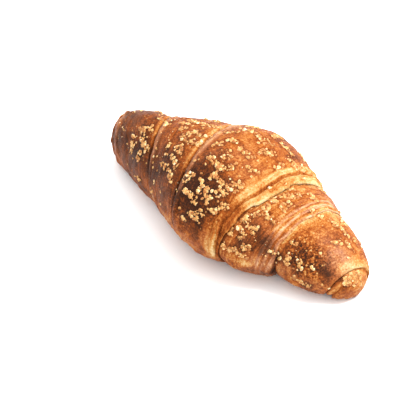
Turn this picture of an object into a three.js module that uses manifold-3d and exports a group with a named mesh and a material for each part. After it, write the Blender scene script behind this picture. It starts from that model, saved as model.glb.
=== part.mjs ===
// A straight filled croissant with a crumb topping, baked whole.
// Millimetres, +Z up. X runs along the croissant, Y across it, and it rests on z = 0.
// Its dough was rolled up from a long triangle, so the edges of the turns are two spirals that start
// together under the middle and run outwards, one to each end. The crust puffs between the edges.
import * as THREE from "three";
import { mergeVertices } from "three/addons/utils/BufferGeometryUtils.js";
import Module from "manifold-3d";

// Overall size
const length = 156;
const width = 73;
const height = 50;

// How the roll thins towards its left (-X) and right (+X) ends, as shares of the width and height
const ends = {
  left: { width: 0.18, height: 0.5, widthTaper: 0.7, heightTaper: 1.15 },
  right: { width: 0.16, height: 0.26, widthTaper: 1.5, heightTaper: 0.96 },
};
const ridgeSoftness = 0.08; // how gently the two tapers meet in the middle, in half lengths
const bluntness = 22; // a higher number makes a squarer end
const waistHeight = 0.43; // level of the widest point, as a share of the height
const squareness = { upper: 0.96, lower: 1.12 }; // 1 is an ellipse in section, less is boxier
const sinkShare = 0.12; // how much of the height the tray has pressed flat
const curve = 3; // the ends lie this much further back than the middle
const lean = 2.3; // the roll is turned so that its right end lies this much further back than its middle
// By the seam to the right of the fourth turn the roll is narrower by this share, and lies further back
const narrowing = { at: 49, halfLength: 15, share: 0.105, back: 1.6 };

// Where the edges of the dough lie, as distances from x = 0 at each quarter turn of the roll.
// They start at the bottom, and go by the near side (-Y), the top and the far side to the bottom again.
const rightEdge = [19, 22.5, 29, 33, 37, 44.5, 46, 51, 60, 69.5, 73.5, 75, 75.8];
const leftEdge = [1, 1.5, 10.5, 14, 21, 30, 42.5, 50, 58, 68, 72, 74, 75.2];
const turns = 3;

// Relief of the crust
const puff = 0.8; // how far a turn swells between its edges
const lip = { drop: 1, width: 4 }; // an edge rounds down by this much, over this width
const crease = { depth: 2.4, width: 4 }; // beside an edge the turn under it lies this much lower
const layers = { step: 0.6, spacing: 3.4, count: 3 }; // the rising layers at the right edge of the middle turn

// The mesh of the crust
const around = 44; // faces round the roll
const seamZone = 0.09; // share of a revolution, each side of the bottom, where the rows cross the edges
const rowsInTurn = [0.012, 0.1, 0.24, 0.42, 0.6, 0.76, 0.88, 0.962, 0.994];
const rowsInEnd = [0.03, 0.16, 0.34, 0.52, 0.68, 0.82];

// Crumbs of the topping lie in drifts. Each drift has a distance along x, a height round the roll in
// degrees, where 0 is the near side, 90 the top and 180 the far side, and a heading, where 0 is along x
// and 90 is up the near side.
const leftEndDrifts = [
  [-46, 60, 90], [-43, 44, 120], [-50, 31, 90], [-41, 23, 90], [-40, 0, 90], [-36, 96, 0], [-38, 82, 90],
];
const secondTurnDrifts = [
  [-20, 91, 150], [-18, 66, 90], [-13, 60, 45], [-22, 44, 90], [-16, 40, 60], [-12, 47, 135], [-12, 32, 90],
  [-23, 5, 90],
];
const middleTurnDrifts = [
  [-1, 48, 0], [5, 35, 160], [6, 49, 110], [12, 45, 110], [-1, 80, 45], [5, 70, 0], [6, 82, 90], [11, 74, 30],
  [12, 60, 150], [17, 62, 100], [18, 43, 0], [12, 27, 20], [8, 19, 45], [12, 115, 90],
];
const fourthTurnDrifts = [
  [29, 101, 90], [35, 93, 60], [32, 76, 120], [31, 47, 20], [31, 34, 90], [35, 25, 100], [35, 8, 90],
  [29, 9, 0], [45, 22, 90],
];
const rightEndDrifts = [
  [49, 57, 90], [55, 32, 0], [52, 16, 45], [60, 0, 30], [48, 92, 0], [62, 118, 90], [75, 100, 90],
];
const farDrifts = { count: 8, from: -58, to: 62, low: 125, high: 176 };
const crumbsInDrift = 3;
const crumbSpread = 3.2; // distance between the crumbs of a drift
const crumbFloor = 6; // no crumb lies lower than this
// A crumb is a leaning stub. Its height, the radius of its top and how deep it sits are shares of its radius.
const crumb = { largest: 1.9, smallest: 1.3, tall: 1.6, top: 0.5, sunk: 0.35, sides: 5, lean: 30 };

const degree = Math.PI / 180;
const smooth = (t) => {
  const s = Math.min(1, Math.max(0, t));
  return s * s * (3 - 2 * s);
};

// A repeatable draw from 0 to 1
const draw = (n) => {
  const s = Math.sin(n * 12.9898 + 4.1414) * 43758.5453;
  return s - Math.floor(s);
};
const between = (low, high, n) => low + (high - low) * draw(n);

// A smooth line through knots that stand one quarter turn apart
function along(knots, quarter) {
  const last = knots.length - 1;
  const q = Math.min(last - 1e-9, Math.max(0, quarter));
  const i = Math.floor(q);
  const t = q - i;
  const [a, b, c, d] = [i - 1, i, i + 1, i + 2].map((j) => knots[Math.min(last, Math.max(0, j))]);
  return b + 0.5 * t * (c - a + t * (2 * a - 5 * b + 4 * c - d + t * (3 * (b - c) + d - a)));
}

// The edge of turn k at a share of a revolution from the bottom
const edgeAt = (side, k, share) => along(side < 0 ? leftEdge : rightEdge, 4 * (k + share));

// Height of the crust over the plain spindle, at x and a share of a revolution from the bottom
function relief(x, share) {
  const middle = (edgeAt(1, 0, share) - edgeAt(-1, 0, share)) / 2;
  const side = x < middle ? -1 : 1;
  const out = side * x;
  let k = 0;
  while (k < turns && out > edgeAt(side, k, share)) k += 1;
  const inner = k ? edgeAt(side, k - 1, share) : -edgeAt(-side, 0, share);
  const outer = k < turns ? edgeAt(side, k, share) : length / 2 + 4;
  const fromInner = out - inner;
  const toOuter = outer - out;
  let rise = puff * Math.sin(Math.PI * Math.min(1, Math.max(0, fromInner / (outer - inner))));
  if (k) rise -= crease.depth * Math.exp(-fromInner / crease.width);
  if (k < turns) rise -= lip.drop * Math.pow(Math.max(0, 1 - toOuter / lip.width), 2);
  if (k === 0 && side > 0) {
    const stack = smooth((share - 0.2) / 0.15) * smooth((0.9 - share) / 0.15);
    for (let n = 1; n <= layers.count; n += 1) {
      rise -= layers.step * stack * smooth(0.5 + (n * layers.spacing - toOuter) / 1.2);
    }
  }
  return rise;
}

// A point of the crust. The relief fades out at the very ends.
function crust(x, share) {
  const place = (2 * x) / length;
  const end = place < 0 ? ends.left : ends.right;
  const far = Math.sqrt(place * place + ridgeSoftness ** 2) - ridgeSoftness;
  const cap = Math.sqrt(Math.max(0, 1 - Math.abs(place) ** bluntness));
  const narrow = Math.exp(-(((x - narrowing.at) / narrowing.halfLength) ** 2));
  const plainWidth = (width / 2) * (1 - (1 - end.width) * far ** end.widthTaper) * cap;
  const halfWidth = plainWidth * (1 - narrowing.share * narrow);
  const tall = height * (1 - (1 - end.height) * far ** end.heightTaper);
  const waist = waistHeight * tall;
  const angle = (share - 0.25) * 2 * Math.PI;
  const [c, s] = [Math.cos(angle), Math.sin(angle)];
  const reach = cap * (s > 0 ? tall - waist : waist + sinkShare * tall);
  const power = s > 0 ? squareness.upper : squareness.lower;
  const y = -halfWidth * Math.sign(c) * Math.abs(c) ** power;
  const z = reach * Math.sign(s) * Math.abs(s) ** power;
  const radius = Math.hypot(y, z);
  const grow = radius > 0 ? 1 + (relief(x, share) * cap) / Math.max(radius, 6) : 1;
  const back = curve * place * place + lean * place + narrowing.back * narrow;
  return new THREE.Vector3(x, y * grow + back, Math.max(0, waist + z * grow));
}

// The rows of the mesh follow the edges of the dough, apart from a zone under the roll.
function rowEdge(side, k, share) {
  const low = seamZone;
  const high = 1 - seamZone;
  if (share >= low && share <= high) return edgeAt(side, k, share);
  const step = share > high ? share - high : share + 1 - high;
  return THREE.MathUtils.lerp(edgeAt(side, k, high), edgeAt(side, k, low), step / (2 * seamZone));
}

// Each row is a function from the share of a revolution to x, from the left end to the right one.
function meshRows() {
  const rows = [];
  const end = length / 2;
  for (let k = turns - 1; k >= -1; k -= 1) {
    const fractions = k === turns - 1 ? rowsInEnd : rowsInTurn;
    for (const f of [...fractions].reverse()) {
      rows.push((share) => {
        const inner = k < 0 ? -rowEdge(1, 0, share) : rowEdge(-1, k, share);
        const outer = k < 0 ? rowEdge(-1, 0, share) : k === turns - 1 ? end : rowEdge(-1, k + 1, share);
        return -THREE.MathUtils.lerp(inner, outer, k === turns - 1 ? 1 - (1 - f) ** 2 : f);
      });
    }
  }
  for (let k = 0; k < turns; k += 1) {
    const fractions = k === turns - 1 ? rowsInEnd : rowsInTurn;
    for (const f of fractions) {
      rows.push((share) => {
        const outer = k === turns - 1 ? end : rowEdge(1, k + 1, share);
        return THREE.MathUtils.lerp(rowEdge(1, k, share), outer, k === turns - 1 ? 1 - (1 - f) ** 2 : f);
      });
    }
  }
  return rows;
}

// The crust starts as a sphere, whose rings become the rows and whose poles become the two ends.
function crustGeometry() {
  const rows = meshRows();
  const sphere = new THREE.SphereGeometry(1, around, rows.length + 1);
  sphere.deleteAttribute("normal");
  sphere.deleteAttribute("uv");
  const ball = mergeVertices(sphere, 1e-5);
  const position = ball.getAttribute("position");
  for (let i = 0; i < position.count; i += 1) {
    const v = new THREE.Vector3().fromBufferAttribute(position, i);
    const row = Math.round((Math.acos(THREE.MathUtils.clamp(-v.y, -1, 1)) / Math.PI) * (rows.length + 1));
    const share = ((Math.atan2(v.z, v.x) / (2 * Math.PI)) % 1 + 1) % 1;
    const atEnd = row === 0 ? -length / 2 : row > rows.length ? length / 2 : null;
    const p = crust(atEnd ?? rows[row - 1](share), share);
    position.setXYZ(i, p.x, p.y, p.z);
  }
  return ball;
}

// Crumbs, largest first in each drift, with the drifts of the far side spread by the golden ratio
function crumbPlaces() {
  const golden = 0.618034;
  const drifts = [leftEndDrifts, secondTurnDrifts, middleTurnDrifts, fourthTurnDrifts, rightEndDrifts].flat();
  for (let n = 0; n < farDrifts.count; n += 1) {
    const x = THREE.MathUtils.lerp(farDrifts.from, farDrifts.to, (n + 0.5) / farDrifts.count);
    drifts.push([x, THREE.MathUtils.lerp(farDrifts.low, farDrifts.high, (n * golden) % 1), between(0, 180, n)]);
  }
  const places = [];
  drifts.forEach(([x, angle, heading], drift) => {
    const girth = 2 * Math.PI * (width / 2) * (1 - Math.abs(x) / length);
    for (let n = 0; n < crumbsInDrift; n += 1) {
      const seed = drift * 31 + n * 5;
      const out = crumbSpread * Math.sqrt(n) * (n % 2 ? 1 : -1);
      const turn = (heading + between(-30, 30, seed)) * degree;
      const size = THREE.MathUtils.lerp(crumb.largest, crumb.smallest, n / (crumbsInDrift - 1));
      places.push({
        x: x + out * Math.cos(turn),
        share: angle / 360 + 0.25 + (out * Math.sin(turn)) / girth,
        size: size * between(0.85, 1.15, seed + 1),
        spin: between(0, 360, seed + 2),
        stretch: between(0.8, 1.3, seed + 3),
      });
    }
  });
  return places;
}

// The crumb stands along the outward direction of the crust, which two short steps on it give.
function crumbGeometry({ x, share, size, spin, stretch }) {
  const here = crust(x, share);
  const outward = new THREE.Vector3()
    .crossVectors(crust(x, share + 0.004).sub(here), crust(x + 0.3, share).sub(here))
    .normalize();
  const piece = new THREE.CylinderGeometry(size * crumb.top, size, size * crumb.tall, crumb.sides, 1);
  piece.rotateX((90 + crumb.lean * (stretch - 1)) * degree);
  piece.scale(stretch, 1 / stretch, 1);
  piece.rotateZ(spin * degree);
  piece.applyQuaternion(new THREE.Quaternion().setFromUnitVectors(new THREE.Vector3(0, 0, 1), outward));
  const centre = here.addScaledVector(outward, size * (crumb.tall / 2 - crumb.sunk));
  return piece.translate(centre.x, centre.y, centre.z);
}

const wasm = await Module();
wasm.setup();

function solidOf(geometry) {
  const plain = geometry.clone();
  plain.deleteAttribute("normal");
  plain.deleteAttribute("uv");
  const merged = mergeVertices(plain, 1e-4);
  return new wasm.Manifold(
    new wasm.Mesh({
      numProp: 3,
      vertProperties: new Float32Array(merged.getAttribute("position").array),
      triVerts: new Uint32Array(merged.index.array),
    }),
  );
}

function geometryOf(solid) {
  const mesh = solid.getMesh();
  const geometry = new THREE.BufferGeometry();
  geometry.setAttribute("position", new THREE.BufferAttribute(mesh.vertProperties.slice(), 3));
  geometry.setIndex(new THREE.BufferAttribute(mesh.triVerts.slice(), 1));
  geometry.computeVertexNormals();
  return geometry;
}

// The crumbs are fused to the crust they were baked on.
const plainCrust = solidOf(crustGeometry());
let whole = plainCrust;
for (const place of crumbPlaces()) {
  if (crust(place.x, place.share).z > crumbFloor) whole = whole.add(solidOf(crumbGeometry(place)));
}

const bakedDough = new THREE.MeshStandardMaterial({ color: "#b06a34", roughness: 0.5, metalness: 0 });
const croissant = new THREE.Mesh(geometryOf(whole), bakedDough);
croissant.name = "croissant";

// The middle of its box stands over the origin.
croissant.geometry.computeBoundingBox();
const middle = croissant.geometry.boundingBox.getCenter(new THREE.Vector3());
croissant.geometry.translate(-middle.x, -middle.y, 0);

const part = new THREE.Group();
part.add(croissant);
export default part;
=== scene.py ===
# A straight filled croissant with a crumb topping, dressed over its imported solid.
# Lengths are in millimetres until a mesh is stored, and angles go round the roll in degrees:
# 0 is the near side (-Y), 90 the top, 180 the far side and -90 the bottom.
from itertools import product
from math import cos, radians, sin

import bmesh
import bpy
import numpy as np
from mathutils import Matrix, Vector
from mathutils.kdtree import KDTree


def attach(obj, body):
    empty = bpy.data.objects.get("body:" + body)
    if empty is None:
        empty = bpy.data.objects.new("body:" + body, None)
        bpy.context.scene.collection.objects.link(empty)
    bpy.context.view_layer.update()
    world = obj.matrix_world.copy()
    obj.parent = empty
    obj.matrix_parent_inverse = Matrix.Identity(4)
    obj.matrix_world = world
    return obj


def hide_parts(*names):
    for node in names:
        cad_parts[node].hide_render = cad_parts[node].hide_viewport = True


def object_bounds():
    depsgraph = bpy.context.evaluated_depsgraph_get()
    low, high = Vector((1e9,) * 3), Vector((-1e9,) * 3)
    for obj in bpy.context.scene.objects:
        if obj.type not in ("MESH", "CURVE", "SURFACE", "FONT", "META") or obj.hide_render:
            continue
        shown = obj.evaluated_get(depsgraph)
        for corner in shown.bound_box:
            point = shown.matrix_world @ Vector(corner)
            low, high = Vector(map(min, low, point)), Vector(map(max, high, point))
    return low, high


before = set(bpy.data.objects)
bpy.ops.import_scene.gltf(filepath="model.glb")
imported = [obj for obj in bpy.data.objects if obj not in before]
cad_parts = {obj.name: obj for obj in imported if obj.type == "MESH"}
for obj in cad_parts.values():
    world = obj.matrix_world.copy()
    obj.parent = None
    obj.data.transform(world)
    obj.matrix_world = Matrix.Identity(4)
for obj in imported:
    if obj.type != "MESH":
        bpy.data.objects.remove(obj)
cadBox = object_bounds()
mm = 0.001


def lerp(low, high, t):
    return low + (high - low) * t


def ease(t, start=0.0, end=1.0):  # 0 before start, 1 after end, smooth between them
    s = np.clip((t - start) / (end - start), 0, 1)
    return s * s * (3 - 2 * s)


def hump(t, centre, halfWidth):
    return np.exp(-(((t - centre) / halfWidth) ** 2))


def cellValue(cells, seed):  # a repeatable value from 0 to 1 for each whole-numbered cell
    n = np.sin(cells @ np.array([127.1, 311.7, 74.7]) + seed * 19.19) * 43758.5453
    return n - np.floor(n)


def noise(points, size, seed):  # smooth noise from -1 to 1, with lumps of about this size
    p = points / size
    cell = np.floor(p)
    f = p - cell
    f = f * f * (3 - 2 * f)
    total = 0
    for corner in product((0, 1), repeat=3):
        corner = np.array(corner)
        total = total + np.prod(np.where(corner, f, 1 - f), axis=-1) * cellValue(cell + corner, seed)
    return 2 * total - 1


def storeMesh(bm, name, material):
    mesh = bpy.data.meshes.new(name)
    bm.to_mesh(mesh)
    bm.free()
    mesh.shade_smooth()
    mesh.materials.append(material)
    piece = bpy.data.objects.new(name, mesh)
    bpy.context.collection.objects.link(piece)
    return piece


def addAttribute(mesh, name, values):
    kind = "FLOAT_VECTOR" if values.ndim > 1 else "FLOAT"
    field = "vector" if values.ndim > 1 else "value"
    mesh.attributes.new(name, kind, "POINT").data.foreach_set(field, values.astype(np.float32).ravel())


class Value:  # wraps a socket, so that Python expressions add Math nodes
    def __init__(self, shader, socket):
        self.shader = shader
        self.socket = socket

    def math(self, operation, *others, clamp=False):
        settings = {"operation": operation, "use_clamp": clamp}
        return self.shader.node("ShaderNodeMath", settings, [self, *others])

    def __add__(self, other):
        return self.math("ADD", other)

    def __sub__(self, other):
        return self.math("SUBTRACT", other)

    def __rsub__(self, other):
        return self.shader.node("ShaderNodeMath", {"operation": "SUBTRACT"}, [other, self])

    def __mul__(self, other):
        return self.math("MULTIPLY", other)

    __radd__ = __add__
    __rmul__ = __mul__

    def clamped(self):
        return self.math("ADD", 0.0, clamp=True)

    def between(self, low, high):  # 0 below low, 1 above high
        values = {"Value": self, "From Min": low, "From Max": high}
        return self.shader.node("ShaderNodeMapRange", {"interpolation_type": "SMOOTHSTEP"}, values)


class Shader:
    def __init__(self, name):
        self.material = bpy.data.materials.new(name)
        self.material.use_nodes = True
        self.tree = self.material.node_tree
        self.tree.nodes.clear()

    def put(self, socket, value):
        if isinstance(value, Value):
            self.tree.links.new(value.socket, socket)
        else:
            socket.default_value = value

    def node(self, kind, settings=None, values=(), output=0):
        made = self.tree.nodes.new(kind)
        for name, setting in (settings or {}).items():
            if name == "stops":
                while len(made.color_ramp.elements) < len(setting):
                    made.color_ramp.elements.new(0.5)
                for element, (place, colour) in zip(made.color_ramp.elements, setting):
                    element.position = place
                    element.color = (*colour, 1)
            else:
                setattr(made, name, setting)
        for key, value in values.items() if isinstance(values, dict) else enumerate(values):
            self.put(made.inputs[key], value)
        return Value(self, made.outputs[output])

    def attribute(self, name, output="Fac"):
        return self.node("ShaderNodeAttribute", {"attribute_name": name}, output=output)

    def noise(self, vector, size, detail=2.0, roughness=0.5):  # from 0 to 1, with lumps of this size in mm
        values = {"Vector": vector, "Scale": 1 / size, "Detail": detail, "Roughness": roughness}
        return self.node("ShaderNodeTexNoise", {}, values)

    def millimetres(self):
        place = self.node("ShaderNodeTexCoord", output="Object")
        return self.node("ShaderNodeVectorMath", {"operation": "SCALE"}, {0: place, "Scale": 1 / mm})

    def stretched(self, vector, factors):
        return self.node("ShaderNodeVectorMath", {"operation": "MULTIPLY"}, [vector, factors])

    def mix(self, factor, first, second):
        made = self.tree.nodes.new("ShaderNodeMix")
        made.data_type = "RGBA"
        for place, value in ((0, factor), (6, first), (7, second)):
            if isinstance(value, tuple):
                value = (*value, 1)
            self.put(made.inputs[place], value)
        return Value(self, made.outputs[2])

    def finish(self, values):
        shader = self.node("ShaderNodeBsdfPrincipled", {}, values)
        end = self.tree.nodes.new("ShaderNodeOutputMaterial")
        self.tree.links.new(shader.socket, end.inputs["Surface"])
        return self.material


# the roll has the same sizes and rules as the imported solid

roll = {
    "length": 156, "width": 73, "height": 50,
    "leftEnd": {"width": 0.18, "height": 0.5, "widthTaper": 0.7, "heightTaper": 1.15},
    "rightEnd": {"width": 0.16, "height": 0.26, "widthTaper": 1.5, "heightTaper": 0.96},
    "ridgeSoftness": 0.08, "bluntness": 22, "waist": 0.43,
    "upperSquareness": 0.96, "lowerSquareness": 1.12, "sink": 0.12,
    "curve": 3, "lean": 2.3, "shift": -0.2,
    # by the edge to the right of the fourth turn the roll is narrower, and lies further back
    "narrowing": {"at": 49, "halfLength": 15, "share": 0.105, "back": 1.6},
    "core": 6,  # within this radius of the middle line the relief fades
    # edges of the dough at each quarter turn, from the bottom by the near side
    "rightEdge": [19, 22.5, 29, 33, 37, 44.5, 46, 51, 60, 69.5, 73.5, 75, 75.8],
    "leftEdge": [1, 1.5, 10.5, 14, 21, 30, 42.5, 50, 58, 68, 72, 74, 75.2],
    "turns": 3,
}
relief = {
    "puff": 0.8, "lipDrop": 0.7, "lipWidth": 2.4, "creaseDepth": 2.6, "creaseWidth": 3.4, "overhang": 0.9,
    # how much deeper the creases beside these turns are, as shares of that depth
    "creaseShares": {
        "leftNear": 0.35, "leftEdge": 0.6, "fourthTurn": -0.2,
        "fifthTurnTop": -0.75, "fifthTurnNear": 0.5, "tip": -0.35,
    },
    # where the exposed layers start at the right edge of the middle turn, at each quarter turn
    "layersFrom": [14, 17, 21, 24, 28],
    "layerDrop": 0.35, "layerSwell": 0.4, "grooveDepth": 0.9, "sheets": 0.45,
    "layerWaves": ((15, 0.11), (5, 0.06), (1.8, 0.025)),  # size, and height as a share of the layers' width
    "sheetRadius": 30,  # turns a share of a revolution into a length along the sheets
    # torn flaps at the same edge: angle, half angle and reach
    "flaps": [(82, 16, 1.8), (32, 6, 1.0), (128, 14, 1.2)],
    # lumps, with size and height: all over, low on the near side, and on the rough left end
    "lumps": ((17, 0.5), (7, 0.32), (3.2, 0.20), (1.7, 0.09)),
    "nearLumps": (3.4, 0.45), "leftEndLumps": ((2.4, 0.8), (5, 0.5)),
    "fibres": 0.14, "ledges": 0.4, "laminations": 0.2,
    "ridge": {"height": 0.8, "at": 2.4, "halfWidth": 1.1},  # outside the edges on the left
    "rim": {"groove": 0.6, "grooveAt": 3.5, "fold": 0.25, "foldAt": 1.7},  # inside the same edges
    "curl": {"lines": 0.15, "fold": 1.3, "foldAt": 3.3},  # on the tip, outside the last edge
}


def along(knots, quarter):  # a smooth line through knots that stand one quarter turn apart
    knots = np.array(knots, float)
    last = len(knots) - 1
    q = np.clip(quarter, 0, last - 1e-9)
    i = np.floor(q).astype(int)
    t = q - i
    a, b, c, d = (knots[np.clip(i + step, 0, last)] for step in (-1, 0, 1, 2))
    return b + 0.5 * t * (c - a + t * (2 * a - 5 * b + 4 * c - d + t * (3 * (b - c) + d - a)))


def edgeAt(side, turn, share):
    return along(roll["leftEdge" if side < 0 else "rightEdge"], 4 * (turn + share))


def placeOnRoll(x, share):
    middle = (edgeAt(1, 0, share) - edgeAt(-1, 0, share)) / 2
    right = x >= middle
    out = np.where(right, x, -x)
    edges = [np.where(right, edgeAt(1, k, share), edgeAt(-1, k, share)) for k in range(roll["turns"])]
    turn = sum((out > edge).astype(int) for edge in edges)
    opposite = -np.where(right, edgeAt(-1, 0, share), edgeAt(1, 0, share))
    inner = np.choose(turn, [opposite, *edges])
    outer = np.choose(turn, [*edges, np.full_like(x, roll["length"] / 2 + 4)])
    start = along(relief["layersFrom"], 4 * share)
    return {
        "x": x, "share": share, "angle": 360 * share - 90,
        "right": right, "turn": turn, "outside": turn > 0, "inside": turn < roll["turns"],
        "fourthTurn": right & (turn == 1), "fifthTurn": right & (turn == 2),
        "tip": right & (turn == roll["turns"]),
        "fromInner": out - inner, "toOuter": outer - out,
        "across": np.clip((out - inner) / (outer - inner), 0, 1),
        "layer": np.where(right & (turn == 0), (x - start) / (edgeAt(1, 0, share) - start), -1.0),
    }


def spindle(x, share, rise):
    place = 2 * x / roll["length"]
    left = place < 0
    end = {key: np.where(left, roll["leftEnd"][key], roll["rightEnd"][key]) for key in roll["leftEnd"]}
    far = np.sqrt(place**2 + roll["ridgeSoftness"] ** 2) - roll["ridgeSoftness"]
    cap = np.sqrt(np.clip(1 - np.abs(place) ** roll["bluntness"], 0, 1))
    narrowing = roll["narrowing"]
    narrow = hump(x, narrowing["at"], narrowing["halfLength"])
    halfWidth = roll["width"] / 2 * (1 - (1 - end["width"]) * far ** end["widthTaper"]) * cap
    halfWidth = halfWidth * (1 - narrowing["share"] * narrow)
    tall = roll["height"] * (1 - (1 - end["height"]) * far ** end["heightTaper"])
    waist = roll["waist"] * tall
    angle = (share - 0.25) * 2 * np.pi
    c, s = np.cos(angle), np.sin(angle)
    reach = cap * np.where(s > 0, tall - waist, waist + roll["sink"] * tall)
    power = np.where(s > 0, roll["upperSquareness"], roll["lowerSquareness"])
    y = -halfWidth * np.sign(c) * np.abs(c) ** power
    z = reach * np.sign(s) * np.abs(s) ** power
    grow = 1 + rise * cap / np.maximum(np.hypot(y, z), roll["core"])
    back = roll["curve"] * place**2 + roll["lean"] * place + roll["shift"] + narrowing["back"] * narrow
    return np.stack([x, y * grow + back, np.maximum(0, waist + z * grow)], axis=-1)


def mainRelief(at):
    around = at["angle"]
    shares = relief["creaseShares"]
    edge = np.exp(-at["fromInner"] / 0.7) * ease(around, 75, 45)
    change = shares["leftEdge"] * ~at["right"] * edge + shares["fourthTurn"] * at["fourthTurn"]
    change = change + shares["fifthTurnTop"] * at["fifthTurn"] * ease(around, 8, 34)
    depth = relief["creaseDepth"] * (1 + change) * (1 + shares["tip"] * at["tip"])
    depth = depth * (1 + shares["fifthTurnNear"] * at["fifthTurn"] * ease(around, 20, -10))
    depth = depth * (1 + shares["leftNear"] * ~at["right"] * ease(around, 70, 30))
    rise = relief["puff"] * np.sin(np.pi * at["across"])
    rise = rise - at["outside"] * depth * np.exp(-at["fromInner"] / relief["creaseWidth"])
    lip = np.clip(1 - at["toOuter"] / relief["lipWidth"], 0, 1) ** 2
    return rise - at["inside"] * relief["lipDrop"] * lip


crust = {
    "around": 340,
    "rowsInTurn": 36,
    "rowsInLayers": 26,
    "rowsInEnd": 30,
    "seamZone": 0.09,  # share of a revolution, each side of the bottom, where the rows cross the edges
    # colour of the bake, from exposed dough to the darkest crust
    "bakeColours": [
        (0.00, (0.60, 0.43, 0.22)), (0.16, (0.50, 0.28, 0.095)), (0.34, (0.40, 0.140, 0.028)),
        (0.52, (0.257, 0.057, 0.008)), (0.72, (0.114, 0.027, 0.005)), (1.00, (0.033, 0.010, 0.004)),
    ],
    # the same, pinker, where the glaze lies thick: a painted sheen
    "glazeSheenColours": [(0.10, (0.60, 0.36, 0.23)), (0.45, (0.32, 0.135, 0.066)), (0.85, (0.10, 0.035, 0.014))],
    # how brown the crust is, from 0 for exposed dough to 1 for the darkest, and what changes that; the near
    # side is painted darker as shade
    "bake": 0.47, "nearSideShade": 0.18, "leftBake": 0.08,
    "clouds": ((16, 0.06), (6, 0.05), (2.6, 0.05)),  # size and how much
    "nearClouds": (7, 0.14), "nearStreaks": (2.2, 0.15),
    # painted shade along the bottom of the creases, on the near side and on the top; and how pale the
    # sheltered dough stays
    "creaseShade": {"near": 0.75, "top": 0.4}, "sheltered": {"near": 0.04, "top": 0.2},
    "goldRidge": 0.22, "fourthTurnEdge": 0.22,
    # on the left rims: painted sheen all over, a painted highlight along the fold and painted shade in the
    # groove
    "rim": {"all": 0.1, "fold": 0.16, "groove": 0.2},
    "curl": {"all": -0.08, "inner": 0.22, "fold": 0.15},
    "layers": {"dough": 0.24, "sheets": 0.16, "groove": 0.34, "start": 0.14, "outline": 0.18, "crest": 0.07},
    "layersNear": {"upper": 0.2, "lower": 0.34, "lowest": 0.12},
    "stripes": {"all": 0.07, "lines": 0.16},
    # painted shade on the crust round the crumbs: reach in mm and how much darker
    "shadeUnderCrumbs": {"reach": 2.2, "amount": 0.18},
    "grainRadius": 25,  # turns a share of a revolution into a length along the grain
    # where the glaze lies thick the crust is glossier, and a sheen is painted into its colour
    "glaze": {"near": 0.22, "nearRight": 0.4, "clouds": (8, 0.25), "mottled": 0.3},
    # spots: x, angle, half length, half angle, how much
    "glossAndSheen": [(-66, 90, 10, 50, 0.25), (67, 72, 7, 34, 0.9)],
    "mottled": [(58, 40, 9, 30, 1.0), (4, 40, 14, 30, 0.5)],
    "browned": [
        (4, 38, 11, 24, 0.48), (10, 50, 8, 14, 0.16), (-2, 62, 5, 20, 0.14), (-22, 42, 9, 24, 0.24),
        (-44, 38, 5, 30, 0.34), (-63, 85, 15, 60, 0.12), (-60, 20, 14, 26, 0.16), (39, 34, 5, 14, 0.28),
        (57, 44, 9, 20, 0.30), (66, 40, 4, 10, 0.24), (68, 30, 6, 26, 0.14), (-25, 70, 8, 16, 0.06),
        (6, 150, 22, 34, 0.12), (-28, 160, 12, 30, 0.12), (40, 165, 10, 24, 0.10),
    ],
    # paler spots; the one at x 70, angle 85 is a painted sheen on the top of the fifth turn
    "pale": [
        (20, 4, 3, 26, 0.34), (52, 118, 5, 26, 0.14), (-26, -8, 14, 17, 0.24), (37, 0, 10, 15, 0.34),
        (3, -14, 16, 18, 0.22), (-62, -6, 12, 16, 0.20), (70, 85, 6, 30, 0.16), (67, 10, 5, 24, 0.16),
        (12, 96, 14, 24, 0.06), (78, 20, 5, 80, 0.46), (32, 130, 10, 40, 0.08),
    ],
}


def spots(at, places):
    total = 0
    for x, angle, halfLength, halfAngle, amount in places:
        total = total + amount * hump(at["x"], x, halfLength) * hump(at["angle"], angle, halfAngle)
    return total


def bridged(line, share):  # a line round the roll, straightened where the rows cross it under the roll
    low, high = crust["seamZone"], 1 - crust["seamZone"]
    step = np.where(share > high, share - high, share + 1 - high) / (2 * low)
    bridge = lerp(line(high), line(low), np.clip(step, 0, 1))
    return np.where((share >= low) & (share <= high), line(share), bridge)


def rowEdge(side, turn, share):
    return bridged(lambda where: edgeAt(side, turn, where), share)


def rowPlaces(share):  # x of every row of the mesh, from the left end to the right one
    count = crust["rowsInTurn"]
    steps = (np.arange(count) + 0.5) / count
    inTurn = lerp(steps, 0.5 - 0.5 * np.cos(np.pi * steps), 0.5)
    steps = (np.arange(crust["rowsInEnd"]) + 0.3) / crust["rowsInEnd"]
    inEnd = 1 - (1 - 0.9 * steps) ** 2
    end = roll["length"] / 2
    last = roll["turns"] - 1
    rows = []
    for turn in range(last, -1, -1):
        outer = end if turn == last else rowEdge(-1, turn + 1, share)
        inner = rowEdge(-1, turn, share)
        rows += [-lerp(inner, outer, f) for f in (inEnd if turn == last else inTurn)[::-1]]
    layers = bridged(lambda where: along(relief["layersFrom"], 4 * where), share)
    rows += [lerp(-rowEdge(-1, 0, share), layers, f) for f in inTurn]
    steps = (np.arange(crust["rowsInLayers"]) + 0.5) / crust["rowsInLayers"]
    rows += [lerp(layers, rowEdge(1, 0, share), f) for f in steps]
    for turn in range(last + 1):
        outer = end if turn == last else rowEdge(1, turn + 1, share)
        rows += [lerp(rowEdge(1, turn, share), outer, f) for f in (inEnd if turn == last else inTurn)]
    return np.array(rows)


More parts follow.
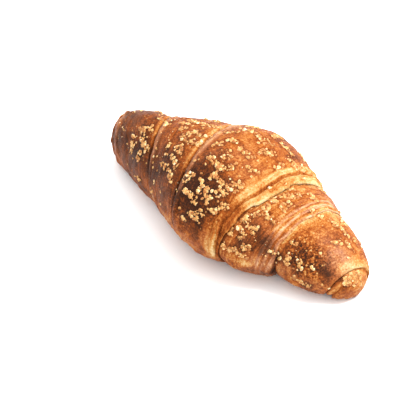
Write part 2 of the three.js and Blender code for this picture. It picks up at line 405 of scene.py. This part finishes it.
def fineRelief(at, points):
    total = sum(height * noise(points, size, 3 + n) for n, (size, height) in enumerate(relief["lumps"]))
    # fibres run along the edges of the dough, and ledges are where a thin sheet of crust ends
    grain = [at["fromInner"] / 1.3, points[:, 1] / 11, points[:, 2] / 11 + 9.0 * at["turn"]]
    grain = np.stack(grain, axis=-1)
    total += relief["fibres"] * noise(grain, 1.0, 11)
    sheet = noise(grain * np.array([0.30, 1.0, 1.0]), 1.0, 12)
    total += relief["ledges"] * (ease(sheet, -0.02, 0.08) - 0.5) * ease(noise(points, 20, 13), -0.3, 0.4)
    # thin layers of dough show as ridges beside the edges
    beside = at["inside"] * ease(-at["toOuter"], -6, -1) + at["outside"] * ease(-at["fromInner"], -5, 0)
    layers = np.sin(np.minimum(at["toOuter"], at["fromInner"]) * 4.6 + 3.5 * noise(points, 8, 15))
    total += relief["laminations"] * layers * beside * ease(noise(points, 9, 16), -0.5, 0.3)
    total += edgeRelief(at, points)
    size, height = relief["nearLumps"]
    total += height * ease(at["angle"], 25, -5) * ease(at["angle"], -60, -30) * noise(points, size, 26)
    (size, height), (largeSize, largeHeight) = relief["leftEndLumps"]
    rough = height * noise(points, size, 14) + largeHeight * noise(points, largeSize, 20)
    return total + ease(-at["x"], 52, 76) * rough


# the raised sheet and the rolled rim at the edges on the left, and the curled tip
def edgeRelief(at, points):
    ridge, rim, curl = relief["ridge"], relief["rim"], relief["curl"]
    around, fromInner = at["angle"], at["fromInner"]
    left = at["outside"] & ~at["right"]
    sheet = hump(fromInner + 0.4 * noise(points, 6, 18), ridge["at"], ridge["halfWidth"])
    total = ridge["height"] * left * sheet
    place = rimPlace(at, points)
    shape = rim["fold"] * hump(place, rim["foldAt"], 0.5) - rim["groove"] * hump(place, rim["grooveAt"], 0.7)
    total += at["inside"] * ~at["right"] * ease(around, 10, 35) * ease(around, 150, 110) * shape
    lines = np.sin(2 * fromInner + np.radians(around) + noise(points, 5, 25))
    fold = hump(fromInner, curl["foldAt"], 0.6) * ease(around, 75, 45)
    return total + at["tip"] * (curl["lines"] * lines - curl["fold"] * fold)


def rimPlace(at, points):  # distance from the next edge, wavering a little
    return at["toOuter"] + 0.6 * noise(points, 7, 19)


def layerPlace(at, points):  # 0 where the layers start and 1 at the edge, with ragged lines between
    wave = sum(height * noise(points, size, 21 + n) for n, (size, height) in enumerate(relief["layerWaves"]))
    t = at["layer"] + wave * ease(np.abs(at["layer"] - 0.5), 0.5, 0.3)
    low = ease(at["angle"], 32, 8)  # on the near side the lower layer is the wide one
    t = np.where(t > 0, np.abs(t) ** lerp(1, 3.2, low), t)
    showing = ease(at["share"], 0.16, 0.24) * ease(at["share"], 0.93, 0.8) * (at["layer"] > -0.3)
    arc = at["share"] * 2 * np.pi * relief["sheetRadius"]
    alongEdge = np.stack([t * 16, arc / 14, np.zeros_like(t)], axis=-1)
    return t, showing, noise(alongEdge, 1.0, 24)  # the noise makes thin sheets along the edge


def layerRelief(at, points):  # terraces of layered dough at the right edge of the middle turn
    t, showing, sheets = layerPlace(at, points)
    steps = -relief["layerDrop"] * (ease(t, -0.04, 0.05) + ease(t, 0.46, 0.56))
    swell = relief["layerSwell"] * np.abs(np.sin(2 * np.pi * np.clip(t, 0, 1))) * (t > 0)
    groove = -relief["grooveDepth"] * hump(t, 0.5, 0.07) - 0.4 * hump(t, 0.02, 0.05)
    lines = relief["sheets"] * sheets * ease(t, 0.0, 0.1)
    return (steps + swell + groove + lines) * showing


def crustAt(x, share, fine=True):
    at = placeOnRoll(x, share)
    plain = spindle(x, share, 0)
    rise = mainRelief(at) + (layerRelief(at, plain) + fineRelief(at, plain) if fine else 0)
    return spindle(x, share, rise)


def outwardAt(x, share):
    here = crustAt(x, share, fine=False)
    aroundIt = crustAt(x, share + 0.004, fine=False) - here
    outward = np.cross(aroundIt, crustAt(x + 0.3, share, fine=False) - here)
    return outward / np.linalg.norm(outward, axis=-1, keepdims=True)


def leftRim(at):  # the rolled rims on the left, where the glaze lies thick and a sheen is painted
    rim = at["inside"] * ~at["right"] * ease(-at["toOuter"], -4, -2.8)
    return rim * ease(at["angle"], 15, 40) * ease(at["angle"], 150, 110)


def broadBakeAndShade(at, points):  # browning over the whole crust, with the near side painted darker as shade
    around = at["angle"]
    bake = crust["bake"]
    for n, (size, amount) in enumerate(crust["clouds"]):
        bake = bake + amount * noise(points, size, 31 + n)
    # painted shade: the near side, turned away from the key light, is made darker
    bake += crust["nearSideShade"] * ease(around, 65, 15) * ease(around, -60, -10)
    bake += crust["leftBake"] * ease(-at["x"], -10, 50)
    (cloudSize, cloud), (streakSize, streak) = crust["nearClouds"], crust["nearStreaks"]
    clouds = cloud * noise(points, cloudSize, 40) + streak * noise(points * [1, 0.4, 0.4], streakSize, 42)
    bake += ease(around, 48, 18) * clouds
    return bake + spots(at, crust["browned"]) - spots(at, crust["pale"])


def edgeBakeAndShade(at, points):  # creases are painted dark as shade, most on the near side, and the dough that was sheltered beside them stays gold
    around, fromInner, toOuter = at["angle"], at["fromInner"], at["toOuter"]
    top = ease(around, 25, 75)
    creaseShadeAmount, shelter, rim, curl = crust["creaseShade"], crust["sheltered"], crust["rim"], crust["curl"]
    sheltered = at["outside"] * np.exp(-np.clip(fromInner + 0.7 * noise(points, 4, 34) - 0.8, 0, None) / 2.4)
    bake = -sheltered * lerp(shelter["near"], shelter["top"], top)
    left = at["outside"] & ~at["right"]
    bake -= crust["goldRidge"] * ease(around, 20, 50) * left * hump(fromInner, 2.5, 1.3)
    faint = at["fifthTurn"] * ease(around, 8, 34)  # this edge hardly shows on the top
    # painted shade: a dark line along the bottom of each crease
    line = hump(fromInner, 0, np.where(at["right"], 1.2, lerp(1.9, 1.2, top)))
    line = line * at["outside"] * (1 - 0.8 * faint - 0.5 * at["right"])
    bake += lerp(creaseShadeAmount["near"], creaseShadeAmount["top"], top) * line
    bake -= crust["fourthTurnEdge"] * at["fifthTurn"] * hump(toOuter, 0, 2.5) * ease(around, 5, 35)
    # the left rims are painted paler as sheen, with a painted highlight along the fold and painted shade in
    # the groove
    place = rimPlace(at, points)
    fold, groove = hump(place, 1.7, 0.6), hump(place, 3.4, 0.5)
    bake -= leftRim(at) * (rim["all"] + rim["fold"] * fold - rim["groove"] * groove)
    folded = hump(fromInner, relief["curl"]["foldAt"], 0.5)
    curled = curl["all"] + curl["inner"] * ease(fromInner, 2.9, 4.2) + curl["fold"] * folded
    return bake + at["tip"] * ease(around, 75, 45) * curled


def layerBakeAndShade(at, points):  # the exposed layers at the right edge of the middle turn, and where they show
    around = at["angle"]
    layers, near = crust["layers"], crust["layersNear"]
    t, showing, sheets = layerPlace(at, points)
    sharp = ease(around, 60, 30)  # the layers start gradually on the top, and with a line on the near side
    band = ease(t, lerp(-0.3, -0.05, sharp), lerp(0.3, 0.06, sharp)) * showing
    bake = layers["dough"] + layers["sheets"] * sheets
    bake += layers["groove"] * hump(t, 0.5, 0.06) + layers["start"] * hump(t, 0.04, 0.05)
    bake -= layers["outline"] * hump(t, 0.95, 0.08) + layers["crest"] * hump(t, 0.25, 0.14)
    lower = ease(t, 0.5, 0.62)
    # painted shade: on the near side, below the top, the layers are darker, the lower one most
    shade = ease(around, 62, 48) * np.maximum(ease(around, 4, 20), lower)
    bake += shade * lerp(near["upper"], near["lower"], lower)
    bake -= near["lowest"] * ease(around, 26, 8) * ease(t, 0.5, 0.35)
    return bake + 0.05 * noise(points, 5, 36), band


def bakeAndShadeMap(at, points):
    layered, band = layerBakeAndShade(at, points)
    bake = lerp(broadBakeAndShade(at, points) + edgeBakeAndShade(at, points), layered, band)
    # thin pale stripes before the edge to the right of the fourth turn
    stripes = at["fourthTurn"] * ease(-at["toOuter"], -9, -2) * ease(at["angle"], -5, 28)
    lines = 0.5 + 0.5 * np.sin(at["toOuter"] * 3.1 + 2 * noise(points, 10, 37))
    return bake - stripes * (crust["stripes"]["all"] + crust["stripes"]["lines"] * lines), band


# glaze mask: it drives the coat, and mixes in the glaze colours as a painted sheen
def glazeAndSheenMap(at, points):
    glaze = crust["glaze"]
    size, clouds = glaze["clouds"]
    low = ease(at["angle"], 30, 5) * lerp(glaze["near"], glaze["nearRight"], hump(at["x"], 44, 8))
    stripes = at["fourthTurn"] * ease(-at["toOuter"], -9, -3)
    stripes = stripes * ease(np.sin(at["toOuter"] * 3.1 + 2.5 * noise(points, 9, 39)), -0.5, 0.4)
    total = leftRim(at) + low + spots(at, crust["glossAndSheen"]) + stripes + clouds * noise(points, size, 38)
    return np.clip(total - glaze["mottled"] * spots(at, crust["mottled"]), 0, 1)


def nearness(points, others, reach):  # 1 at the others, and 0 beyond this reach
    tree = KDTree(len(others))
    for n, other in enumerate(others):
        tree.insert(other, n)
    tree.balance()
    return ease(np.array([tree.find(point)[2] for point in points]), reach, 0)


def makeCrust(material, crumbCentres):
    around = crust["around"]
    columns = np.arange(around) / around
    rows = rowPlaces(columns)
    bm = bmesh.new()
    bmesh.ops.create_uvsphere(bm, u_segments=around, v_segments=len(rows) + 1, radius=1)
    ball = np.array([v.co for v in bm.verts])
    row = np.rint(np.arccos(np.clip(ball[:, 2], -1, 1)) / np.pi * (len(rows) + 1)).astype(int)
    column = np.rint(np.arctan2(ball[:, 1], ball[:, 0]) / (2 * np.pi) * around).astype(int) % around
    x = rows[np.clip(row - 1, 0, len(rows) - 1), column]
    x = np.where(row == 0, -roll["length"] / 2, np.where(row > len(rows), roll["length"] / 2, x))
    share = columns[column]
    at = placeOnRoll(x, share)
    plain = spindle(x, share, 0)
    hang = relief["overhang"] * (0.6 + 0.7 * noise(plain, 5, 17)) * at["inside"]
    for angle, halfAngle, reach in relief["flaps"]:
        hang += reach * (at["layer"] > 0.5) * ease(np.abs(at["angle"] - angle), halfAngle + 5, halfAngle)
    side = np.where(at["right"], 1, -1)
    overlap = hang * np.exp(-at["toOuter"] / 1.5) - 0.3 * at["outside"] * np.exp(-at["fromInner"] / 0.8)
    points = crustAt(x, share)
    points[:, 0] += side * overlap * ease(points[:, 2], 1, 6)
    points = keepInBox(points)
    for vertex, point in zip(bm.verts, points):
        vertex.co = point * mm
    bmesh.ops.recalc_face_normals(bm, faces=bm.faces)
    piece = storeMesh(bm, "crust", material)
    bake, band = bakeAndShadeMap(at, plain)
    # painted shade: the crust is darker close to the crumbs
    crumbShade = crust["shadeUnderCrumbs"]
    bake = bake + crumbShade["amount"] * nearness(points, crumbCentres, crumbShade["reach"])
    # the browning, together with the painted shade of the creases, the near side, the layers and round the
    # crumbs
    addAttribute(piece.data, "bake", bake)
    addAttribute(piece.data, "glaze", glazeAndSheenMap(at, plain))
    addAttribute(piece.data, "band", band)
    addAttribute(piece.data, "mottle", spots(at, crust["mottled"]))
    addAttribute(piece.data, "streaky", at["fourthTurn"] * 1.0)
    arc = share * 2 * np.pi * crust["grainRadius"]
    addAttribute(piece.data, "grain", np.stack([at["fromInner"], arc, 20.0 * at["turn"]], axis=-1))
    print("crust:", len(piece.data.polygons), "faces")
    return piece


def keepInBox(points):
    low, high = (np.array(corner) / mm for corner in cadBox)
    return np.clip(points, low + 0.02 * np.array([1, 1, 0]), high - 0.02)


def crustMaterial():
    s = Shader("baked crust")
    place = s.millimetres()
    grain = s.attribute("grain", "Vector")
    band = s.attribute("band")
    bake = s.attribute("bake")
    speckle = s.noise(place, 0.9, 4, 0.7) - 0.5
    blotch = s.noise(place, 4.5, 3, 0.6) - 0.5
    streak = s.noise(s.stretched(grain, (1.0, 0.12, 1.0)), 0.9, 3, 0.6) - 0.5
    freckle = s.noise(place, 0.7, 1, 0.5).between(0.62, 0.74)
    spot = s.noise(place, 2.0, 2, 0.5) - 0.5
    mottle = s.attribute("mottle")
    bake = bake + speckle * (0.85 + mottle * 2.0) + spot * mottle * 1.5 + blotch * 0.5
    bake = bake + streak * (0.45 + 0.5 * s.attribute("streaky"))
    bake = (bake + freckle * 0.10 * (1 - band)).clamped()
    colour = s.node("ShaderNodeValToRGB", {"stops": crust["bakeColours"]}, [bake])
    glaze = (s.attribute("glaze") * (0.75 + 2 * blotch) * (1 - band)).clamped()
    sheenColour = s.node("ShaderNodeValToRGB", {"stops": crust["glazeSheenColours"]}, [bake])
    # painted sheen: where the glaze lies thick the colour turns pinker
    colour = s.mix(glaze * 0.8, colour, sheenColour)
    roughness = 0.44 + 0.20 * band + speckle * 0.3 + blotch * 0.2
    height = speckle * 0.9 + streak * 0.9 + s.noise(place, 0.45, 2) * 0.7 - freckle * 0.2
    bump = s.node("ShaderNodeBump", {}, {"Strength": 0.8, "Distance": 0.7 * mm, "Height": height})
    return s.finish({
        "Base Color": colour, "Roughness": roughness, "Normal": bump,
        "Specular IOR Level": 0.05, "Coat Weight": 0.16 * glaze, "Coat Roughness": 0.28, "Coat IOR": 1.45,
    })


topping = {
    # chains of crumbs: x, angle round the roll, heading (0 along x, 90 up the near side), length and width
    "leftEnd": [
        (-50, 60, 120, 5, 3.2), (-47, 65, 45, 6, 3.2), (-44, 43, 147, 11, 3.4), (-51.5, 29, 95, 8, 2.6),
        (-44, 26, 90, 6, 2.6), (-41, -4, 60, 4, 2.6), (-54, 44, 0, 2, 1.6), (-45, 92, 20, 7, 2),
    ],
    "secondTurn": [
        (-17, 37, 162, 14, 2.8), (-17, 49, 160, 9, 2.6), (-24, 47, 0, 2, 2), (-20, 62, 45, 5, 2.4),
        (-17, 58, 45, 4, 2.2), (-20, 72, 0, 9, 2.4), (-12, 74, 10, 6, 2), (-39, 84, 60, 4, 3),
        (-28, 101, 0, 10, 2.2), (-18, 103, 10, 9, 2.2), (-26, 2, 90, 3, 2.8), (-28, 84, 60, 5, 1.8),
        (-26, 57, 118, 4, 1.8), (-13, 85, 20, 8, 2.6), (-21, 82, 50, 7, 2.4), (-31, 94, 20, 7, 2),
        (-24, 118, 10, 8, 2.4),
    ],
    "middleTurn": [
        (-3, 82, 45, 5, 3), (4.5, 79, 140, 6, 4.2), (9, 90, 0, 8, 2.4), (4, 69, 170, 9, 2.4),
        (10, 72, 52, 8, 2.3), (-3.5, 45, 120, 5, 4), (-0.5, 51, 30, 3, 2.8), (10.5, 61, 165, 7, 2.2),
        (7.7, 59, 90, 4, 2), (6, 47, 118, 7, 2), (4.5, 36.5, 170, 9, 2.6), (9.8, 46, 120, 6, 2),
        (12.4, 42.5, 110, 6, 2), (14.4, 53, 163, 5.5, 3.6), (16, 61, 90, 7, 2.6),
        (18.5, 66, 90, 6, 2.4), (19, 45.5, 30, 4.5, 3.4), (16.4, 38, 45, 5, 2.2),
        (10.5, 26, 45, 8, 3.4), (12, 22, 45, 4, 2.4), (5.6, 16, 118, 3, 1.6), (8, 111, 60, 7, 3),
        (6, 127, 90, 5, 2.4), (-5, 125, 0, 8, 2.6), (13, 102, 90, 6, 2.4), (15, 108, 90, 4, 2),
        (1, 112, 0, 9, 2.4), (-6, 100, 20, 7, 2.2), (17, 84, 20, 6, 2), (21, 106, 90, 6, 2),
        (0, 92, 20, 6, 2), (14, 128, 10, 8, 2.6), (21, 122, 10, 6, 2.4),
    ],
    "fourthTurn": [
        (31, 77, 60, 5, 3.6), (28, 86, 60, 4, 2), (34, 90, 40, 7, 2.6), (37, 80, 90, 7, 2.8),
        (33, 66, 120, 6, 2.6), (37, 60, 0, 5, 2), (28.5, 47, 88, 6, 2), (31.2, 45, 120, 5, 1.8),
        (34.5, 42, 100, 5, 1.8), (30, 35, 150, 5, 2), (32, 29, 40, 4, 1.8), (29, 10, 40, 5, 2.4),
        (34.5, 19, 45, 4, 2.8), (34, 7, 30, 4, 3.2), (25, 8, 90, 2.5, 2), (44, 24, 45, 3, 2.4),
        (46.5, 18, 100, 3, 2.2), (31, 57, 60, 4, 2), (30.5, 99, 60, 5, 2.6), (35.5, 95, 60, 6, 2.6),
        (26, 28, 100, 4, 1.8), (31, 122, 10, 7, 2.4), (40, 112, 20, 7, 2.2),
    ],
    "rightEnd": [
        (49.5, 50, 90, 3, 2.6), (51, 28, 60, 3, 1.8), (56, 33, 60, 3, 2.2), (56.5, 26, 0, 3, 1.8),
        (51, 19, 90, 3, 1.8), (62, 33, 0, 2, 1.4), (59, -3, 0, 9, 3), (54, 110, 20, 5, 2),
        (62, 92, 60, 5, 1.6), (64, 130, 90, 5, 2.4), (75, 72, 90, 4, 2.6), (76, 90, 90, 4, 2.8),
        (75.5, 58, 90, 4, 2.6), (76, 36, 60, 4, 2), (74.5, 44, 90, 4, 1.8), (58, 118, 10, 9, 2.4),
        (66, 108, 10, 6, 2.2), (47, 100, 30, 6, 2),
    ],
    "far": {"count": 20, "from": -60, "to": 64, "low": 125, "high": 182, "width": 2.8},
    "density": 2.7,  # crumbs on each square millimetre of a chain
    "crumbSize": (0.9, 2.0),  # across
    "loose": {"count": 160, "size": (0.7, 1.7)},
    "dust": {"count": 380, "size": (0.3, 0.7)},
    # where these two lie: most of them on the near side, round an angle with a spread
    "scatter": {"reach": 70, "nearShare": 0.75, "near": (62, 42), "far": (90, 185), "within": (-8, 190)},
    "lumpiness": 0.36,
    "paleness": {"mean": 0.72, "spread": 0.17, "rise": 1.1, "middle": 0.56},  # 0 toasted, 1 pale; rise paints each crumb lighter on top and darker below, as painted light and shade
    "floor": 5,  # no crumb lies lower than this
    "colours": [
        (0.00, (0.28, 0.09, 0.018)), (0.35, (0.55, 0.29, 0.09)),
        (0.70, (0.80, 0.58, 0.32)), (1.00, (0.93, 0.79, 0.57)),
    ],
}


def crumbTemplate(segments):  # a ball with few faces
    bm = bmesh.new()
    bmesh.ops.create_uvsphere(bm, u_segments=segments, v_segments=segments // 2 + 1, radius=0.5)
    bmesh.ops.triangulate(bm, faces=bm.faces)
    verts = np.array([v.co for v in bm.verts])
    faces = np.array([[v.index for v in f.verts] for f in bm.faces])
    bm.free()
    return verts, faces


def driftPlaces(random):
    parts = ("leftEnd", "secondTurn", "middleTurn", "fourthTurn", "rightEnd")
    drifts = [drift for part in parts for drift in topping[part]]
    far = topping["far"]
    for n in range(far["count"]):
        x = lerp(far["from"], far["to"], (n + 0.5) / far["count"])
        angle = lerp(far["low"], far["high"], (n * 0.618034) % 1)
        drifts.append((x, angle, 180 * random.random(), random.uniform(4, 9), far["width"]))
    places = []
    for x, angle, heading, length, broad in drifts:
        girth = np.pi * roll["width"] * (1 - abs(x) / roll["length"])
        turn = radians(heading)
        bend = random.uniform(-0.08, 0.08)
        swell = random.uniform(0, 6)
        for n in range(round(length * broad * topping["density"])):
            out = random.uniform(-0.5, 0.5) * length
            width = broad * (0.85 + 0.3 * sin(2.2 * out + swell))  # a chain is a row of clumps
            side = random.uniform(-1, 1)
            aside = 0.6 * width * side + bend * out * out
            dx = out * cos(turn) - aside * sin(turn)
            up = out * sin(turn) + aside * cos(turn)
            lift = random.uniform(0, 0.5) * width * (1 - side * side)
            size = random.uniform(*topping["crumbSize"])
            places.append((x + dx, angle / 360 + 0.25 + up / girth, size, lift))
    return places


def loosePlaces(random, count, size):
    scatter = topping["scatter"]
    low, high = scatter["within"]
    places = []
    while len(places) < count:
        x = random.uniform(-scatter["reach"], scatter["reach"])
        near = random.random() < scatter["nearShare"]
        angle = random.normal(*scatter["near"]) if near else random.uniform(*scatter["far"])
        if low < angle < high:
            places.append((x, angle / 360 + 0.25, random.uniform(*size), 0))
    return places


def makeCrumbs(name, places, segments, sunk, random, material):
    verts, faces = crumbTemplate(segments)
    x, share, size, lift = (np.array(column, float) for column in zip(*places))
    keep = crustAt(x, share)[:, 2] > topping["floor"]
    x, share, size, lift = x[keep], share[keep], size[keep], lift[keep]
    outward = outwardAt(x, share)
    centre = crustAt(x, share) + outward * lift[:, None]
    aside = np.cross(outward, random.normal(size=outward.shape))
    aside /= np.linalg.norm(aside, axis=-1, keepdims=True)
    third = np.cross(outward, aside)
    stretch = random.uniform(0.75, 1.3, (len(size), 3))
    axes = np.stack([aside, third, outward], axis=1) * (stretch * size[:, None])[:, :, None]
    shift = random.uniform(0, 90, (len(size), 1, 3))
    lumps = 1 + topping["lumpiness"] * noise(verts[None] * 3.0 + shift, 1.0, 41)
    centre = centre + outward * size[:, None] * (0.5 - sunk)
    shaped = (verts[None] * lumps[:, :, None]) @ axes + centre[:, None]
    points = keepInBox(shaped.reshape(-1, 3)) * mm
    allFaces = (faces[None] + (np.arange(len(size)) * len(verts))[:, None, None]).reshape(-1, faces.shape[1])
    mesh = bpy.data.meshes.new(name)
    mesh.from_pydata(points.tolist(), [], allFaces.tolist())
    bm = bmesh.new()
    bm.from_mesh(mesh)
    bmesh.ops.recalc_face_normals(bm, faces=bm.faces)
    bpy.data.meshes.remove(mesh)
    piece = storeMesh(bm, name, material)
    upper = np.clip(verts[:, 2] + 0.5, 0, 1)  # 0 underneath and 1 on top: painted shade makes each crumb darker below
    pale = topping["paleness"]
    paleness = random.normal(pale["mean"], pale["spread"], (len(size), 1))
    paleness = paleness + pale["rise"] * (upper[None] - pale["middle"])
    addAttribute(piece.data, "paleness", np.clip(paleness, 0, 1).ravel())
    print(name + ":", len(size), "pieces,", len(piece.data.polygons), "faces")
    return piece


def crumbMaterial():
    s = Shader("baked crumbs")
    place = s.millimetres()
    fine = s.noise(place, 0.5, 3, 0.6) - 0.5
    blotch = s.noise(place, 1.6, 2, 0.5) - 0.5
    pale = (s.attribute("paleness") + fine * 0.6 + blotch * 0.8).clamped()
    colour = s.node("ShaderNodeValToRGB", {"stops": topping["colours"]}, [pale])
    bump = s.node("ShaderNodeBump", {}, {"Strength": 0.6, "Distance": 0.3 * mm, "Height": fine + blotch})
    return s.finish({
        "Base Color": colour, "Roughness": 0.55 + fine * 0.3, "Normal": bump,
        "Specular IOR Level": 0.25, "Subsurface Weight": 0.12, "Subsurface Scale": 0.0008,
    })


random = np.random.default_rng(7)
drifts = driftPlaces(random)
x, share, *_ = np.array(drifts).T
baked = makeCrust(crustMaterial(), crustAt(x, share))
crumbFinish = crumbMaterial()
crumbs = makeCrumbs("crumbs", drifts, 6, 0.30, random, crumbFinish)
loose = makeCrumbs("loose_crumbs", loosePlaces(random, **topping["loose"]), 6, 0.32, random, crumbFinish)
dust = makeCrumbs("crumb_dust", loosePlaces(random, **topping["dust"]), 4, 0.35, random, crumbFinish)
for piece in (baked, crumbs, loose, dust):
    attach(piece, "root")
    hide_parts("croissant")


studio = {
    "floorColour": (0.93, 0.93, 0.93), "floorClouds": (0.91, 0.91, 0.915),
    "world": 1.62,
    "key": {"at": (0.37, 0.44, 0.92), "size": 0.38, "power": 16.5},
    "fill": {"at": (-0.2, -0.1, 1.2), "size": 0.9, "power": 2.4},
    "camera": {"azimuth": 45, "elevation": 40, "distance": 0.8, "lens": 148.1, "aim": (2.46, -15.9, 20)},
}


def makeFloor():
    bm = bmesh.new()
    bmesh.ops.create_grid(bm, x_segments=2, y_segments=2, size=3)
    s = Shader("pale table")
    cloud = s.noise(s.millimetres(), 60, 2) - 0.5
    colour = s.mix(cloud.clamped(), studio["floorColour"], studio["floorClouds"])
    piece = storeMesh(bm, "table", s.finish({"Base Color": colour, "Roughness": 0.7}))


def makeLight(name, at, size, power):
    lamp = bpy.data.lights.new(name, "AREA")
    lamp.shape = "DISK"
    lamp.size = size
    lamp.energy = power
    holder = bpy.data.objects.new(name, lamp)
    holder.location = at
    holder.rotation_euler = (-Vector(at)).to_track_quat("-Z", "Y").to_euler()
    bpy.context.collection.objects.link(holder)


def makeCamera():
    values = studio["camera"]
    azimuth, elevation = radians(values["azimuth"]), radians(values["elevation"])
    back = Vector((sin(azimuth) * cos(elevation), -cos(azimuth) * cos(elevation), sin(elevation)))
    camera = bpy.data.objects.new("camera", bpy.data.cameras.new("camera"))
    camera.data.lens = values["lens"]
    camera.data.sensor_width = 36
    camera.data.clip_start = 0.01
    camera.location = Vector(values["aim"]) * mm + back * values["distance"]
    camera.rotation_euler = back.to_track_quat("Z", "Y").to_euler()
    bpy.context.collection.objects.link(camera)
    bpy.context.scene.camera = camera


makeFloor()
makeLight("key", **studio["key"])
makeLight("fill", **studio["fill"])
makeCamera()
world = bpy.data.worlds.new("studio")
world.use_nodes = True
world.node_tree.nodes["Background"].inputs["Color"].default_value = (1, 1, 1, 1)
world.node_tree.nodes["Background"].inputs["Strength"].default_value = studio["world"]
bpy.context.scene.world = world
bpy.context.scene.view_settings.view_transform = "Standard"
print("studio: floor, two lights and camera")
